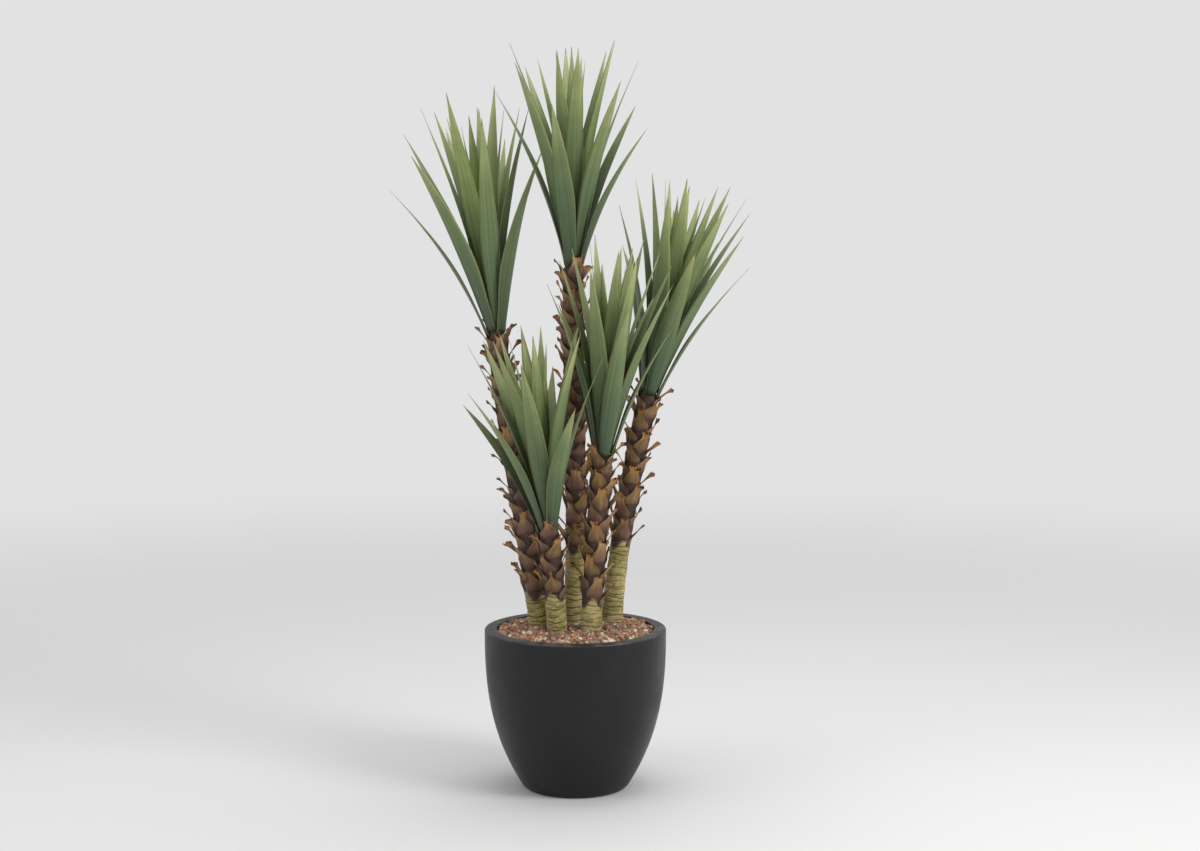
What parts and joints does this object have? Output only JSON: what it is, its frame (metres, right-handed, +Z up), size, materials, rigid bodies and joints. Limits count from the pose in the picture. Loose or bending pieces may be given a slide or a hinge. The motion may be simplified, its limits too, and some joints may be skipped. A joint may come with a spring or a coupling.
{
  "type": "potted yucca",
  "caption": "Cane yucca with ringed stems of different heights, jackets of dry husks and tufts of sword-shaped leaves, in a tall round planter topped with gravel.",
  "frame": {"origin": "centre of the planter's flat underside", "axes": "+Z up along the planter's axis; -Y is the side with the two short front stems, +X is the side of the stem that leans right"},
  "size_m": [0.7983, 0.5809, 1.6321],
  "materials": {
    "pot": "satin",
    "soil": "matte",
    "gravel": "matte",
    "stem": "matte",
    "husk": "matte",
    "leaf": "satin"
  },
  "bodies": {
    "root": {"pot": "pot", "soil": "soil", "gravel": "gravel", "stem_left": "stem", "husks_left": "husk", "leaf_left_01": "leaf", "leaf_left_02": "leaf", "leaf_left_03": "leaf", "leaf_left_04": "leaf", "leaf_left_05": "leaf", "leaf_left_06": "leaf", "leaf_left_07": "leaf", "leaf_left_08": "leaf", "heart_left": "leaf", "stem_centre": "stem", "husks_centre": "husk", "leaf_centre_01": "leaf", "leaf_centre_02": "leaf", "leaf_centre_03": "leaf", "leaf_centre_04": "leaf", "leaf_centre_05": "leaf", "leaf_centre_06": "leaf", "leaf_centre_07": "leaf", "leaf_centre_08": "leaf", "heart_centre": "leaf", "stem_right": "stem", "husks_right": "husk", "leaf_right_01": "leaf", "leaf_right_02": "leaf", "leaf_right_03": "leaf", "leaf_right_04": "leaf", "leaf_right_05": "leaf", "leaf_right_06": "leaf", "leaf_right_07": "leaf", "leaf_right_08": "leaf", "heart_right": "leaf", "stem_front_right": "stem", "husks_front_right": "husk", "leaf_front_right_01": "leaf", "leaf_front_right_02": "leaf", "leaf_front_right_03": "leaf", "leaf_front_right_04": "leaf", "leaf_front_right_05": "leaf", "leaf_front_right_06": "leaf", "leaf_front_right_07": "leaf", "leaf_front_right_08": "leaf", "heart_front_right": "leaf", "stem_front_left": "stem", "husks_front_left": "husk", "leaf_front_left_01": "leaf", "leaf_front_left_02": "leaf", "leaf_front_left_03": "leaf", "leaf_front_left_04": "leaf", "leaf_front_left_05": "leaf", "leaf_front_left_06": "leaf", "leaf_front_left_07": "leaf", "leaf_front_left_08": "leaf", "heart_front_left": "leaf"}
  },
  "joints": []
}
